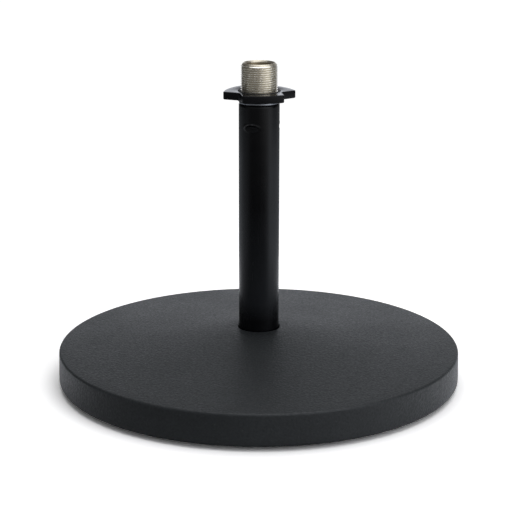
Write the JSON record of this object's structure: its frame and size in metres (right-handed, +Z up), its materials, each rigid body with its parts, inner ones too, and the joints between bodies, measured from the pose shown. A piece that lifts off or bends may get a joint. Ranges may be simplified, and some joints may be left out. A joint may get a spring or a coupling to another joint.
{
  "type": "desktop microphone stand",
  "caption": "Low desktop microphone stand: heavy round cast base with a shallow conical top, short black tube and a threaded nickel nipple carrying a lobed lock ring.",
  "frame": {"origin": "centre of the round base on the floor plane", "axes": "+Z up along the tube; +X to the right and +Y away from the front view"},
  "size_m": [0.1764, 0.1764, 0.1415],
  "materials": {
    "cast_base": "fine textured matte powder coat on cast iron",
    "tube_paint": "satin black paint",
    "nickel": "satin nickel plate",
    "lock_ring": "black coated zinc, semi-gloss",
    "fibre": "black vulcanised fibre",
    "zinc_steel": "bright zinc plate",
    "rubber": "matte moulded rubber"
  },
  "bodies": {
    "stand": {"base_casting": "cast_base", "shaft_tube": "tube_paint", "thread_nipple": "nickel", "foot_plug": "zinc_steel", "base_bolt": "zinc_steel", "spring_washer": "zinc_steel", "flat_washer": "zinc_steel", "rubber_foot_1": "rubber", "rubber_foot_2": "rubber", "rubber_foot_3": "rubber", "rubber_foot_4": "rubber", "rubber_foot_5": "rubber", "rubber_foot_6": "rubber", "foot_screw_1": "zinc_steel", "foot_screw_2": "zinc_steel", "foot_screw_3": "zinc_steel", "foot_screw_4": "zinc_steel", "foot_screw_5": "zinc_steel", "foot_screw_6": "zinc_steel"},
    "ring_carriage": {"friction_washer": "fibre"},
    "ring": {"lock_ring": "lock_ring"}
  },
  "joints": [
    {"name": "ring_travel", "type": "slide", "parent": "stand", "child": "ring_carriage", "axis": [0, 0, 1], "range_m": [0, 0.01128]},
    {"name": "ring_turn", "type": "hinge", "parent": "ring_carriage", "child": "ring", "pos_m": [0, 0, 0.1278], "axis": [0, 0, 1], "range_deg": [0, 4320]}
  ],
  "couplings": [
    {"joint": "ring_turn", "follows": "ring_travel", "rad_per_m": 6679}
  ]
}
